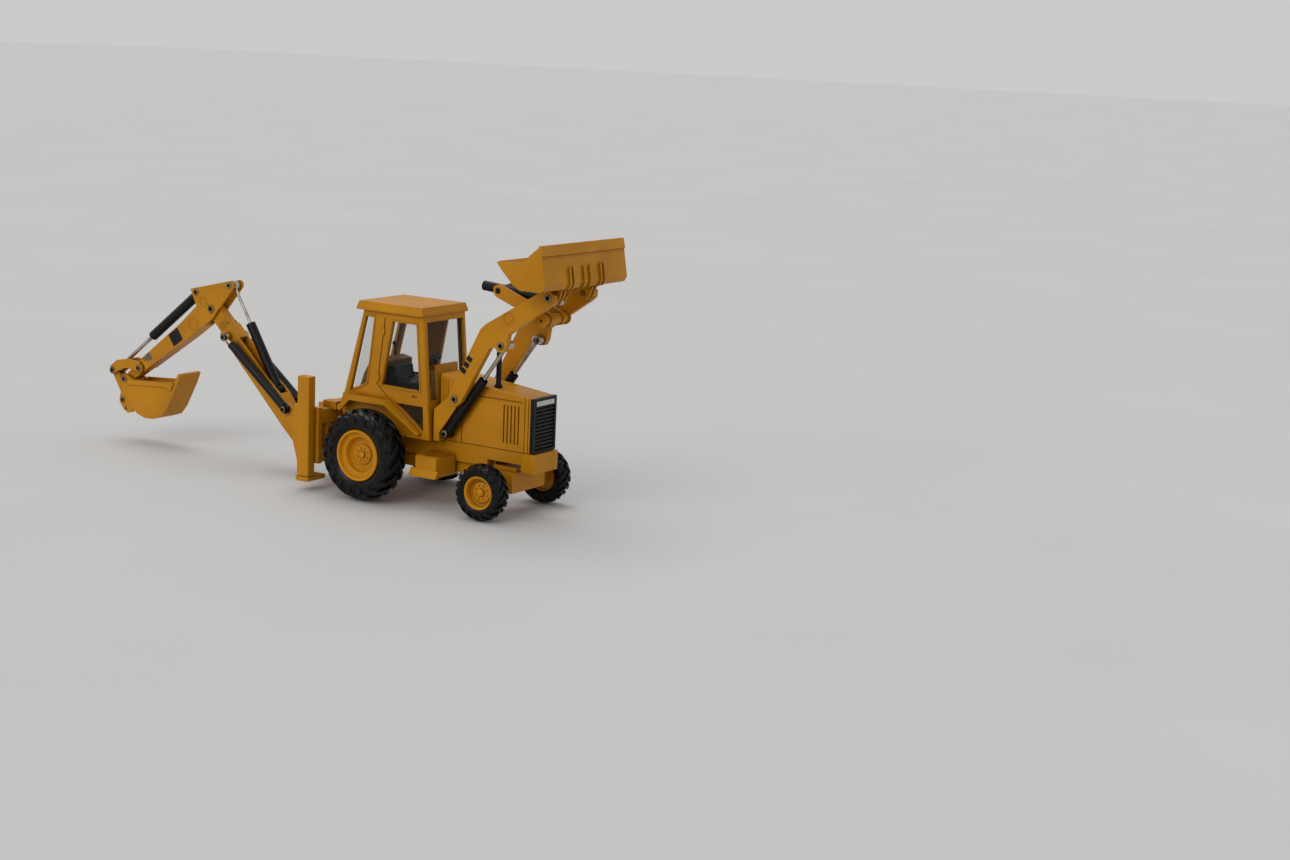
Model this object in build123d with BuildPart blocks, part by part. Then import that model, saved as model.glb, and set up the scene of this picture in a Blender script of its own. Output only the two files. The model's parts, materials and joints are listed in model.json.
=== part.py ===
"""Toy backhoe loader, a 1:50 die-cast model, as an assembly of separate pieces.

Working frame: X forward, Y to the machine's left, Z up. X is measured from the
rear axle and Z from the ground; save() then moves the origin to the middle of
the whole model. "Half" sizes are measured from the centre plane y = 0.
"""
import os
from math import hypot

from build123d import *

# ---------------------------------------------------------------- overall
WHEELBASE = 42.0
FRONT_REACH = 65.7          # foremost point: wear ribs of the loader bucket
REAR_REACH = -124.2         # rearmost point: rocker of the backhoe bucket
ORIGIN_X = (FRONT_REACH + REAR_REACH) / 2

# ---------------------------------------------------------------- wheels
REAR_TYRE_R, REAR_RIM_R = 14.1, 7.8
REAR_TYRE_IN, REAR_TYRE_OUT = 14.6, 22.6
FRONT_TYRE_R, FRONT_RIM_R = 8.5, 5.1
FRONT_TYRE_IN, FRONT_TYRE_OUT = 13.4, 18.6
AXLE_R, STUB_R = 1.0, 0.8
RUN_FIT = 0.05              # radial clearance of every turning bore

# ---------------------------------------------------------------- chassis and body
FRAME_HALF = 5.6
FRAME_BOTTOM, FRAME_TOP = 13.7, 19.4
NOSE_X = 53.2
HOOD_HALF, HOOD_WALL = 5.8, 0.9
HOOD_REAR, HOOD_FRONT = 18.4, 51.0
HOOD_BOTTOM, HOOD_TOP_REAR, HOOD_TOP_FRONT = 19.6, 39.4, 35.8
CAB_HALF, CAB_WALL = 10.4, 1.0
LEFT_POST_SHIFT = 5.0
SEAM_Z, CAB_TOP = 30.0, 56.2
ROOF_TOP = 58.8
ROOF_HALF = 11.2
STEP_HALF = 15.1
FENDER_HALF = 14.3

# ---------------------------------------------------------------- pins and rivets
ROCKING_Z = 11.0            # height of the front axle's rocking pin, which runs along X
ROCKING_PIN_X, ROCKING_PIN_LENGTH = 39.0, 12.0
PIN_R = 0.7
HEAD_R, HEAD_H = 1.15, 0.3
HOLE_R = 0.42

# ---------------------------------------------------------------- loader
ARM_IN, ARM_OUT = 9.3, 11.2
ARM_PIVOT = (27.4, 33.4)
LIFT_BASE = (22.5, 22.0)
LIFT_ROD_PIN = (43.5, 51.0)
BUCKET_PIVOT = (59.4, 66.5)
TILT_BASE = (36.4, 65.7)
TILT_ROD_PIN = (55.4, 64.2)
BRACKET_TUBE = (53.8, 59.0)
CROSS_TUBE = (47.6, 60.0)
LIFT_Y, LIFT_BARREL_R, LIFT_BORE_R, LIFT_ROD_R = 7.65, 1.45, 1.22, 0.6
LIFT_BARREL_LENGTH, LIFT_ROD_LENGTH = 21.8, 17.5
TILT_BARREL_R, TILT_BORE_R, TILT_ROD_R = 1.45, 1.15, 0.6
BUCKET_HALF, BUCKET_WALL = 21.1, 0.9

# ---------------------------------------------------------------- backhoe
KINGPIN_X = -33.4
KINGPIN_R = 1.0
CLEVIS_R = 2.2
BOOM_PIVOT = (-38.5, 9.8)
BOOM_CYL_BASE = (-44.1, 20.1)
BOOM_CYL_ROD_PIN = (-69.9, 40.1)
STICK_PIVOT = (-78.0, 48.1)
STICK_CYL_BASE = (-51.0, 25.2)
STICK_CYL_ROD_PIN = (-70.2, 56.5)
HOE_CYL_BASE = (-84.6, 53.0)
ROCKER_PIVOT = (-110.6, 24.9)
ROCKER_PIN = (-122.8, 22.8)
HOE_BUCKET_PIVOT = (-116.2, 20.7)
LINK_PIN = (-117.0, 13.6)
SPARE_HOLE = (-115.1, 10.9)
BOOM_HALF, BOOM_TIP = 2.6, 1.6
STICK_HALF, STICK_TIP = 2.4, 1.6
BOOM_CYL_Y, BOOM_BARREL_R, BOOM_BORE_R = 4.3, 1.35, 1.12
STICK_BARREL_R, STICK_BORE_R = 1.55, 1.2
HOE_BARREL_R, HOE_BORE_R, HOE_ROD_R = 1.6, 0.95, 0.65
THIN_ROD_R = 0.5            # rods of the boom and stick cylinders
EYE_R = 1.4
HOE_BUCKET_HALF = 4.7
EAR_IN, EAR_OUT = 2.7, 3.5
ROCKER_IN, ROCKER_OUT = 1.75, 2.5

# ---------------------------------------------------------------- backhoe carriage
RAIL_X, RAIL_R = -25.2, 1.1
RAIL_HEIGHTS = (10.6, 22.6)
RAIL_HALF = 17.6
POST_REAR, POST_FRONT = -24.1, -19.5
POST_IN, POST_OUT = 18.4, 21.5
POST_BOTTOM, POST_TOP = 4.6, 35.2
SIDES = (-1, 1)


# ---------------------------------------------------------------- helpers
def prism(points, y_low, y_high, mode=Mode.ADD):
    """Flat plate: an outline in the XZ plane, from y_low to y_high."""
    with BuildSketch(Plane.XZ.offset(-y_high)) as profile:
        with BuildLine():
            Polyline(*points, close=True)
        make_face()
    extrude(profile.sketch, amount=y_high - y_low, mode=mode)


def pair(points, inner, outer, mode=Mode.ADD):
    """The same plate on both sides of the centre plane."""
    prism(points, inner, outer, mode)
    prism(points, -outer, -inner, mode)


def crossbar(at, radius, y_low, y_high, mode=Mode.ADD):
    """Round bar along Y through the XZ point at."""
    with Locations((at[0], (y_low + y_high) / 2, at[1])):
        Cylinder(radius, y_high - y_low, rotation=(90, 0, 0), mode=mode)


def crossbars(at, radius, inner, outer, mode=Mode.ADD):
    """The same round bar on both sides of the centre plane."""
    crossbar(at, radius, inner, outer, mode)
    crossbar(at, radius, -outer, -inner, mode)


def block(x, y, z, mode=Mode.ADD):
    """Box given by its (low, high) limits along each axis."""
    middle = ((x[0] + x[1]) / 2, (y[0] + y[1]) / 2, (z[0] + z[1]) / 2)
    with Locations(middle):
        Box(x[1] - x[0], y[1] - y[0], z[1] - z[0], mode=mode)


def block_pair(x, y, z, mode=Mode.ADD):
    """The same box on both sides of the centre plane."""
    block(x, y, z, mode)
    block(x, (-y[1], -y[0]), z, mode)


def spindle(start, end, y, radius, mode=Mode.ADD):
    """Round bar in the plane at y, from one XZ point to another."""
    run = Vector(end[0] - start[0], 0, end[1] - start[1])
    with BuildSketch(Plane(origin=(start[0], y, start[1]), z_dir=run)) as section:
        Circle(radius)
    extrude(section.sketch, amount=run.length, mode=mode)


def along(start, toward, distance):
    """XZ point at a distance from start in the direction of toward."""
    length = hypot(toward[0] - start[0], toward[1] - start[1])
    return (start[0] + (toward[0] - start[0]) * distance / length,
            start[1] + (toward[1] - start[1]) * distance / length)


def beside(start, toward, distance, side):
    """XZ point at a distance along a line, then square off to its left by side."""
    length = hypot(toward[0] - start[0], toward[1] - start[1])
    unit = ((toward[0] - start[0]) / length, (toward[1] - start[1]) / length)
    return (start[0] + unit[0] * distance - unit[1] * side,
            start[1] + unit[1] * distance + unit[0] * side)


def rivet(at, face, direction, radius=PIN_R):
    """Tubular rivet's rolled head on a face at y = face, facing direction."""
    outer = face + direction * HEAD_H
    crossbar(at, radius + HEAD_R - PIN_R, min(face, outer), max(face, outer))
    crossbar(at, HOLE_R, outer - 0.6, outer + 0.6, Mode.SUBTRACT)


def barrel(base, toward, y, radius, bore, length, eye_half, pin=PIN_R):
    """Cylinder barrel with an eye at its base pin and an open bore at its end."""
    foot = along(base, toward, 1.0)
    mouth = along(base, toward, length)
    floor = along(base, toward, 4.0)
    spindle(foot, mouth, y, radius)
    crossbar(base, EYE_R, y - eye_half, y + eye_half)
    spindle(floor, along(base, toward, length + 1), y, bore, Mode.SUBTRACT)
    crossbar(base, pin + RUN_FIT, y - 5, y + 5, Mode.SUBTRACT)


def rod(pin_at, toward, y, radius, length, eye_half, pin=PIN_R):
    """Piston rod with an eye round its pin."""
    spindle(pin_at, along(pin_at, toward, length), y, radius)
    crossbar(pin_at, EYE_R, y - eye_half, y + eye_half)
    crossbar(pin_at, pin + RUN_FIT, y - 5, y + 5, Mode.SUBTRACT)


def save(piece, name):
    """Move a finished piece into the hand-over frame and write it."""
    placed = Pos(-ORIGIN_X, 0, 0) * piece
    placed.label = name
    export_step(placed, f"parts/{name}.step")


os.makedirs("parts", exist_ok=True)


# ---------------------------------------------------------------- chassis
def make_chassis():
    with BuildPart() as chassis_frame:
        # main rails, thinner over the rocking front axle
        block((-16.0, 36.0), (-FRAME_HALF, FRAME_HALF), (FRAME_BOTTOM, FRAME_TOP))
        block((35.9, NOSE_X), (-FRAME_HALF, FRAME_HALF), (15.8, FRAME_TOP))
        block((48.2, NOSE_X), (-HOOD_HALF, HOOD_HALF), (FRAME_BOTTOM, FRAME_TOP))
        # belly, gearbox and rear axle casing
        prism([(-15, 14), (-12, 9.5), (20, 9.5), (30, 11), (34, 14)], -4.6, 4.6)
        crossbar((0, REAR_TYRE_R), 3.4, -13.6, 13.6)
        block((-5, 5), (-9.2, 9.2), (10.5, FRAME_TOP))
        # hanger of the front axle's rocking pin
        block((33.0, 37.2), (-3, 3), (9.5, 16))
        # inner brackets of the lift cylinders' base pins, inside the hood
        block_pair((20.6, 24.6), (3.6, 4.8), (FRAME_TOP - 0.2, 24.0))
        crossbar(LIFT_BASE, PIN_R, -5, 5, Mode.SUBTRACT)
        # mounting block of the backhoe frame
        block((-18.0, -15.9), (-FRAME_HALF, FRAME_HALF), (9.5, FRAME_TOP))
        crossbar((0, REAR_TYRE_R), AXLE_R, -14, 14, Mode.SUBTRACT)
        with Locations((ROCKING_PIN_X, 0, ROCKING_Z)):
            Cylinder(AXLE_R, ROCKING_PIN_LENGTH, rotation=(0, 90, 0), mode=Mode.SUBTRACT)
        # screw holes under the belly
        with Locations((-6, 0, 9.4), (22, 0, 9.4)):
            Cylinder(0.8, 6, mode=Mode.SUBTRACT)
    save(chassis_frame.part, "chassis_frame")


def make_chassis_screws():
    with BuildPart() as chassis_screws:
        for x in (-6, 22):
            with Locations((x, 0, 10.9)):
                Cylinder(0.8, 3.0)
            with Locations((x, 0, 9.05)):
                Cylinder(1.5, 0.8)
            with Locations((x, 0, 8.75)):
                Box(2.2, 0.4, 0.4, mode=Mode.SUBTRACT)
                Box(0.4, 2.2, 0.4, mode=Mode.SUBTRACT)
    save(chassis_screws.part, "chassis_screws")


def make_rear_axle():
    with BuildPart() as rear_axle:
        crossbar((0, REAR_TYRE_R), AXLE_R, -19.6, 19.6)
    save(rear_axle.part, "rear_axle")


def make_front_axle():
    with BuildPart() as front_axle_beam:
        block((37.5, 47.0), (-8.2, 8.2), (7.4, 13.2))
        block((38.2, 46.0), (-5.0, 5.0), (7.2, 14.4))
        block((39.6, 44.4), (-12.8, 12.8), (6.9, 10.4))
        with Locations((ROCKING_PIN_X, 0, ROCKING_Z)):
            Cylinder(AXLE_R + RUN_FIT, ROCKING_PIN_LENGTH + 0.2, rotation=(0, 90, 0), mode=Mode.SUBTRACT)
        crossbars((WHEELBASE, FRONT_TYRE_R), STUB_R, 12.7, 16.6)
    save(front_axle_beam.part, "front_axle_beam")
    with BuildPart() as axle_rocking_pin:
        with Locations((ROCKING_PIN_X, 0, ROCKING_Z)):
            Cylinder(AXLE_R, ROCKING_PIN_LENGTH, rotation=(0, 90, 0))
    save(axle_rocking_pin.part, "axle_rocking_pin")


def make_hood():
    slope = (HOOD_TOP_FRONT - HOOD_TOP_REAR) / (HOOD_FRONT - HOOD_REAR)
    outer = [(HOOD_REAR, HOOD_BOTTOM), (HOOD_FRONT, HOOD_BOTTOM),
             (HOOD_FRONT, HOOD_TOP_FRONT), (HOOD_REAR, HOOD_TOP_REAR)]
    inner = [(HOOD_REAR - 1, HOOD_BOTTOM - 1), (HOOD_FRONT + 1, HOOD_BOTTOM - 1),
             (HOOD_FRONT + 1, HOOD_TOP_FRONT + slope - HOOD_WALL),
             (HOOD_REAR - 1, HOOD_TOP_REAR - slope - HOOD_WALL)]
    with BuildPart() as hood:
        prism(outer, -HOOD_HALF, HOOD_HALF)
        top_edges = hood.edges().filter_by(lambda e: e.center().Z > 37 and abs(e.center().Y) > 5)
        fillet(top_edges, 0.5)
        prism(inner, -HOOD_HALF + HOOD_WALL, HOOD_HALF - HOOD_WALL, Mode.SUBTRACT)
        # five pressed louvre grooves on each side, and two ribs beside the grille
        for groove in range(5):
            x = 41.4 + 1.3 * groove
            block_pair((x, x + 0.5), (HOOD_HALF - 0.4, 7), (21.6, 33.0), Mode.SUBTRACT)
        for x in (48.9, 50.2):
            block_pair((x, x + 0.3), (HOOD_HALF - 0.2, 7), (HOOD_BOTTOM, 36.5), Mode.SUBTRACT)
        # shoulder groove and panel seam, pressed into both sides
        block_pair((31.0, 48.0), (HOOD_HALF - 0.25, 7), (34.15, 34.5), Mode.SUBTRACT)
        block_pair((26.2, 26.6), (HOOD_HALF - 0.25, 7), (HOOD_BOTTOM, 27), Mode.SUBTRACT)
        crossbar(LIFT_BASE, PIN_R, -7, 7, Mode.SUBTRACT)
    save(hood.part, "hood")


def make_grille():
    with BuildPart() as grille:
        block((HOOD_FRONT, 52.2), (-HOOD_HALF, HOOD_HALF), (HOOD_BOTTOM, HOOD_TOP_FRONT))
        block((51.2, 53), (-4.9, 4.9), (20.4, 33.0), Mode.SUBTRACT)
        # horizontal slats
        for slat in range(11):
            z = 20.9 + 1.1 * slat
            block((51.1, 52.0), (-5, 5), (z, z + 0.6))
    save(grille.part, "grille")


def make_exhaust():
    with BuildPart() as exhaust_stack:
        with Locations((37.6, -3.4, 43.2)):
            Cylinder(0.8, 13.0)
        with Locations((37.6, -3.4, 37.6)):
            Cylinder(1.2, 1.0)
        with Locations((37.6, -3.4, 49.0)):
            Cylinder(0.5, 3.0, mode=Mode.SUBTRACT)
        block((36, 39), (-5, -2), (30, 37.45), Mode.SUBTRACT)
    save(exhaust_stack.part, "exhaust_stack")


# ---------------------------------------------------------------- cab
CAB_REAR_LOW, CAB_REAR_HIGH = -15.4, -8.2
CAB_FRONT_LOW, CAB_FRONT_HIGH = 17.0, 14.7


def cab_section(inset):
    """Side outline of the cab above the seam, moved inwards by inset."""
    return [(CAB_REAR_LOW + inset, SEAM_Z), (CAB_FRONT_LOW - inset, SEAM_Z),
            (CAB_FRONT_HIGH - inset, CAB_TOP), (CAB_REAR_HIGH + inset, CAB_TOP)]


def make_lower_body():
    outline = [(-16.2, 26.6), (CAB_REAR_LOW, SEAM_Z), (CAB_FRONT_LOW, SEAM_Z),
               (17.9, 19.5), (6.0, 19.5), (-9.0, 19.5), (-15.0, 22.5)]
    hollow = [(-15.0, 26.6), (-14.3, SEAM_Z + 1), (15.9, SEAM_Z + 1),
              (16.8, 20.5), (6.0, 20.5), (-8.7, 20.5), (-14.0, 23.0)]
    fender = [(-14.6, 26.4), (-10.4, SEAM_Z), (3.2, SEAM_Z), (14.9, 21.3),
              (14.5, 20.7), (3.0, 29.2), (-10.1, 29.2), (-14.0, 25.8)]
    corner_window = [(5.0, 29.3), (15.2, 29.3), (15.6, 21.8)]
    taper = [(3.6, FENDER_HALF + 0.1), (3.6, FENDER_HALF + 1), (16, FENDER_HALF + 1), (16, 11.9)]
    with BuildPart() as lower_body:
        prism(outline, -CAB_HALF, CAB_HALF)
        prism(hollow, -CAB_HALF + CAB_WALL, CAB_HALF - CAB_WALL, Mode.SUBTRACT)
        pair(fender, CAB_HALF - 0.2, FENDER_HALF)
        # turned-down outer lip of each fender
        lip = [(-14.8, 25.6), (-10.4, SEAM_Z), (3.2, SEAM_Z), (4.2, 29.3), (3.6, 28.7),
               (-9.9, 28.7), (-13.7, 25.0)]
        pair(lip, FENDER_HALF - 0.7, FENDER_HALF)
        # the sloping front of each fender narrows towards its foot
        for side in SIDES:
            with BuildSketch(Plane.XY.offset(19.8)) as trim:
                with BuildLine():
                    Polyline(*[(x, side * y) for x, y in taper], close=True)
                make_face()
            extrude(trim.sketch, amount=11, mode=Mode.SUBTRACT)
        prism(corner_window, -12, 12, Mode.SUBTRACT)
    save(lower_body.part, "cab_lower_body")


def make_cab_frame():
    # the left wall carries its post further forward, behind a longer stepped rear window
    right_windows = [[(-12.6, 31.0), (-6.4, 34.2), (-3.9, 54.2), (-6.9, 54.2)],
                     [(-0.4, 34.2), (13.8, 34.0), (12.1, 53.6), (3.4, 53.6)]]
    left_windows = [[(-10.9, 38.0), (-9.5, 38.0), (-7.9, 34.8), (-1.4, 34.2), (1.1, 54.2), (-6.9, 54.2)],
                    [(4.6, 34.2), (13.8, 34.0), (12.1, 53.6), (8.4, 53.6)]]
    door_seam = [(0.6, 54.6), (0.2, 54.6), (-2.4, 34.0), (1.6, 30.6), (1.9, 30.9), (-2.0, 34.1)]
    with BuildPart() as cab_frame:
        prism(cab_section(0), -CAB_HALF, CAB_HALF)
        upright = cab_frame.edges().filter_by(lambda e: abs(abs(e.center().Y) - CAB_HALF) < 0.1
                                              and abs(e.tangent_at(0.5).Z) > 0.9)
        fillet(upright, 0.8)
        prism(cab_section(CAB_WALL), -CAB_HALF + CAB_WALL, CAB_HALF - CAB_WALL, Mode.SUBTRACT)
        # shut the top again with the header that carries the roof
        block((-7.6, 14.2), (-9.8, 9.8), (CAB_TOP - 1.0, CAB_TOP))
        # windscreen, which runs down on both sides of the hood, and the rear window
        block((12, 20), (-8.8, 8.8), (41.4, 54.4), Mode.SUBTRACT)
        block_pair((12, 20), (5.2, 8.8), (31.0, 41.5), Mode.SUBTRACT)
        prism([(-20, 31), (-12.2, 31), (-6.9, 54.2), (-20, 54.2)], -8.6, 8.6, Mode.SUBTRACT)
        for side, windows, post_shift in ((-1, right_windows, 0), (1, left_windows, LEFT_POST_SHIFT)):
            inside, outside = sorted((side * 5, side * 12))
            for window in windows:
                prism(window, inside, outside, Mode.SUBTRACT)
            # door shut line with its two hinges
            inside, outside = sorted((side * (CAB_HALF - 0.25), side * 12))
            prism([(x + post_shift, z) for x, z in door_seam], inside, outside, Mode.SUBTRACT)
            inside, outside = sorted((side * (CAB_HALF - 0.1), side * (CAB_HALF + 0.35)))
            for z in (36.4, 50.6):
                x = -2.2 + (z - 34) * 0.125 + post_shift
                crossbar((x, z), 0.6, inside, outside)
                block((x - 0.35, x + 0.35), (inside, outside), (z - 1.3, z + 1.3))
        # door handle recess
        block_pair((11.0, 13.0), (CAB_HALF - 0.3, 12), (31.6, 32.3), Mode.SUBTRACT)
    save(cab_frame.part, "cab_frame")


def make_cab_glazing():
    gap = 1.06
    pane = 0.5
    outer = [(CAB_REAR_LOW + 0.5 + gap, SEAM_Z + 0.5), (CAB_FRONT_LOW - gap, SEAM_Z + 0.5),
             (CAB_FRONT_HIGH - gap, 55.0), (CAB_REAR_HIGH + gap + 0.2, 55.0)]
    inner = [(outer[0][0] + pane + 0.2, SEAM_Z - 1), (outer[1][0] - pane, SEAM_Z - 1),
             (outer[2][0] - pane, 56.0), (outer[3][0] + pane + 0.2, 56.0)]
    lower = [(-6.0, 29.9), (15.8, 29.9), (16.7, 21.0), (12.0, 21.0)]
    half = CAB_HALF - CAB_WALL - 0.06
    with BuildPart() as cab_glazing:
        prism(outer, -half, half)
        prism(inner, -half + pane, half - pane, Mode.SUBTRACT)
        # skirts behind the triangular foot windows
        pair(lower, half - pane, half)
    save(cab_glazing.part, "cab_glazing")


def make_cab_roof():
    with BuildPart() as cab_roof:
        block((-10.1, 14.9), (-ROOF_HALF, ROOF_HALF), (CAB_TOP, ROOF_TOP))
        # flared skirt under a softly rounded top
        chamfer(cab_roof.faces().sort_by(Axis.Z)[-1].edges(), 2.0, 0.6)
        # raised panel with rounded corners on the roof skin
        with BuildSketch(Plane.XY.offset(ROOF_TOP - 0.2)) as panel:
            with Locations((2.4, 0)):
                RectangleRounded(19.0, 16.5, 2.0)
        extrude(panel.sketch, amount=0.2)
    save(cab_roof.part, "cab_roof")


def make_cab_interior():
    with BuildPart() as cab_interior:
        block((-8.4, 15.4), (-8.4, 8.4), (20.5, 22.0))
        # rear console over the axle, stepped down to the footwell
        prism([(-8.4, 21.5), (6.0, 21.5), (6.0, 30.5), (-3.4, 31.0), (-3.4, 40.2),
               (-7.0, 41.0), (-9.6, 36.5), (-12.2, 29.5), (-12.8, 24.0)], -7.6, 7.6)
        # dash and steering column cover
        prism([(11.4, 21.5), (15.0, 21.5), (14.6, 38.6), (12.4, 39.4), (12.6, 36)], -3.4, 3.4)
    save(cab_interior.part, "cab_interior")


def make_seat():
    with BuildPart() as operator_seat:
        prism([(-3.2, 31.1), (5.6, 30.7), (5.8, 34.6), (0.2, 35.0), (-0.6, 39.0), (-3.2, 39.0)], -4.4, 4.4)
        long_edges = operator_seat.edges().filter_by(Axis.Y)
        fillet(long_edges.sort_by(Axis.Z)[-4:], 0.5)
        block_pair((-1.2, 4.6), (4.4, 5.3), (35.6, 36.4))
        block_pair((-1.2, -0.2), (4.3, 5.3), (34, 36.4))
    save(operator_seat.part, "operator_seat")


def make_steering_wheel():
    hub = (10.9, 42.0)
    foot = (13.3, 39.6)
    with BuildPart() as steering_wheel:
        spindle(foot, hub, 0, 0.5)
        tilt = Plane(origin=(hub[0], 0, hub[1]), z_dir=(hub[0] - foot[0], 0, hub[1] - foot[1]))
        with BuildSketch(tilt.offset(-0.35)) as rim:
            Circle(2.7)
            Circle(2.1, mode=Mode.SUBTRACT)
            Rectangle(4.6, 0.5)
            Rectangle(0.5, 4.6)
            Circle(0.8)
        extrude(rim.sketch, amount=0.6)
    save(steering_wheel.part, "steering_wheel")


def make_levers():
    with BuildPart() as control_levers:
        # backhoe levers on the rear console and loader lever beside the seat
        for start, end, y in (((-6.0, 41.0), (-6.4, 44.8), -2.6), ((-6.0, 41.0), (-6.4, 44.8), 2.6),
                              ((5.2, 30.8), (6.4, 37.4), -5.8)):
            spindle(start, end, y, 0.3)
            with Locations((end[0], y, end[1])):
                Sphere(0.7)
    save(control_levers.part, "control_levers")


def make_steps():
    with BuildPart() as step_boxes:
        block_pair((15.9, 24.3), (FRAME_HALF, STEP_HALF), (9.6, 15.6))
        outer_rear = step_boxes.edges().filter_by(Axis.Z).group_by(Axis.X)[0]
        chamfer(outer_rear.filter_by(lambda e: abs(e.center().Y) > STEP_HALF - 0.1), 1.3, 0.7)
        # flared lip along the foot of each box
        for side in SIDES:
            with BuildSketch(Plane.YZ.offset(14.9)) as lip:
                with BuildLine():
                    Polyline((side * 14.5, 9.6), (side * (STEP_HALF + 1.2), 9.6),
                             (side * STEP_HALF, 11.8), (side * 14.5, 11.8), close=True)
                make_face()
            extrude(lip.sketch, amount=10.0)
        # serrated treads on the top
        for bar in range(9):
            x = 16.7 + 0.82 * bar
            pair([(x, 15.5), (x + 0.5, 15.5), (x + 0.5, 16.2), (x + 0.2, 16.2)], 7.2, 13.2)
    save(step_boxes.part, "step_boxes")


def make_towers():
    near_edge = 1.7
    outline = [(HOOD_REAR, 19.6), (20.6, 19.6), (20.6, 22.4),
               beside(LIFT_BASE, LIFT_ROD_PIN, 0, near_edge),
               beside(LIFT_BASE, LIFT_ROD_PIN, 12.6, near_edge),
               (28.6, 34.6), (27.6, 35.4), (25.4, 34.8), (HOOD_REAR, 29.0)]
    with BuildPart() as loader_tower:
        pair(outline, 6.0, 9.05)
        crossbar(ARM_PIVOT, PIN_R, -10, 10, Mode.SUBTRACT)
    save(loader_tower.part, "loader_towers")


def make_tower_pins():
    with BuildPart() as tower_pins:
        for side in SIDES:
            for at, start, face in ((ARM_PIVOT, 6.0, ARM_OUT + 0.1), (LIFT_BASE, 3.6, 9.3)):
                crossbar(at, PIN_R, min(side * start, side * face), max(side * start, side * face))
                rivet(at, side * face, side)
    save(tower_pins.part, "tower_pins")


# ---------------------------------------------------------------- loader
def make_loader_arms():
    arm = [(25.3, 34.4), (36.2, 55.2), (38.2, 56.9), (57.2, 68.2), (59.6, 68.8), (61.6, 67.2),
           (61.5, 65.3), (60.2, 64.1), (46.0, 54.4), (45.5, 51.0), (44.6, 49.3), (42.6, 49.1),
           (41.5, 50.2), (39.6, 49.9), (29.6, 32.6), (28.0, 31.3), (26.2, 31.6), (25.2, 33.0)]
    with BuildPart() as loader_arms:
        pair(arm, ARM_IN, ARM_OUT)
        # cross tube from arm to arm, carrying the tilt bracket
        crossbar(CROSS_TUBE, 1.5, -ARM_IN - 0.1, ARM_IN + 0.1)
        bracket = [(34.9, 66.9), (36.8, 67.6), (54.8, 61.0), (56.0, 59.4), (55.2, 57.2),
                   (53.2, 56.8), (50.8, 58.4), (36.0, 63.8), (34.7, 65.0)]
        pair(bracket, 2.5, 3.5)
        crossbar(BRACKET_TUBE, 1.6, -6.3, 6.3)
        crossbars(BRACKET_TUBE, 2.1, 5.7, 6.3)
        crossbar(TILT_BASE, 0.8 + RUN_FIT, -4, 4, Mode.SUBTRACT)
        crossbar(ARM_PIVOT, PIN_R + RUN_FIT, -12, 12, Mode.SUBTRACT)
        crossbar(LIFT_ROD_PIN, PIN_R, -12, 12, Mode.SUBTRACT)
        crossbar(BUCKET_PIVOT, PIN_R, -12, 12, Mode.SUBTRACT)
        # open ends of the bracket tube
        crossbars(BRACKET_TUBE, HOLE_R, 5.0, 7, Mode.SUBTRACT)
    save(loader_arms.part, "loader_arms")


def make_arm_pins():
    with BuildPart() as arm_pins:
        for side in SIDES:
            for at, inner in ((LIFT_ROD_PIN, 6.2), (BUCKET_PIVOT, 6.3)):
                low, high = sorted((side * inner, side * ARM_OUT))
                crossbar(at, PIN_R, low, high)
                rivet(at, side * ARM_OUT, side)
            low, high = sorted((side * 5.9, side * 6.2))
            crossbar(LIFT_ROD_PIN, HEAD_R, low, high)
    save(arm_pins.part, "arm_pins")


def make_lift_cylinders():
    with BuildPart() as lift_barrels:
        for side in SIDES:
            barrel(LIFT_BASE, LIFT_ROD_PIN, side * LIFT_Y, LIFT_BARREL_R, LIFT_BORE_R,
                   LIFT_BARREL_LENGTH, 1.5)
    save(lift_barrels.part, "lift_barrels")
    with BuildPart() as lift_rods:
        for side in SIDES:
            rod(LIFT_ROD_PIN, LIFT_BASE, side * LIFT_Y, LIFT_ROD_R, LIFT_ROD_LENGTH, 1.3)
    save(lift_rods.part, "lift_rods")


def make_tilt_cylinder():
    tail = along(TILT_BASE, TILT_ROD_PIN, -7.4)
    mouth = along(TILT_BASE, TILT_ROD_PIN, 15.0)
    with BuildPart() as tilt_barrel:
        spindle(tail, mouth, 0, TILT_BARREL_R)
        spindle(along(TILT_BASE, TILT_ROD_PIN, 1.8), along(TILT_BASE, TILT_ROD_PIN, 16), 0,
                TILT_BORE_R, Mode.SUBTRACT)
        # trunnion turning in the bracket's two plates
        crossbar(TILT_BASE, 1.3, -2.4, 2.4)
        crossbar(TILT_BASE, 0.8, -3.7, 3.7)
    save(tilt_barrel.part, "tilt_barrel")
    with BuildPart() as tilt_rod:
        rod(TILT_ROD_PIN, TILT_BASE, 0, TILT_ROD_R, 9.5, 1.0, pin=0.6)
    save(tilt_rod.part, "tilt_rod")


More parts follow.
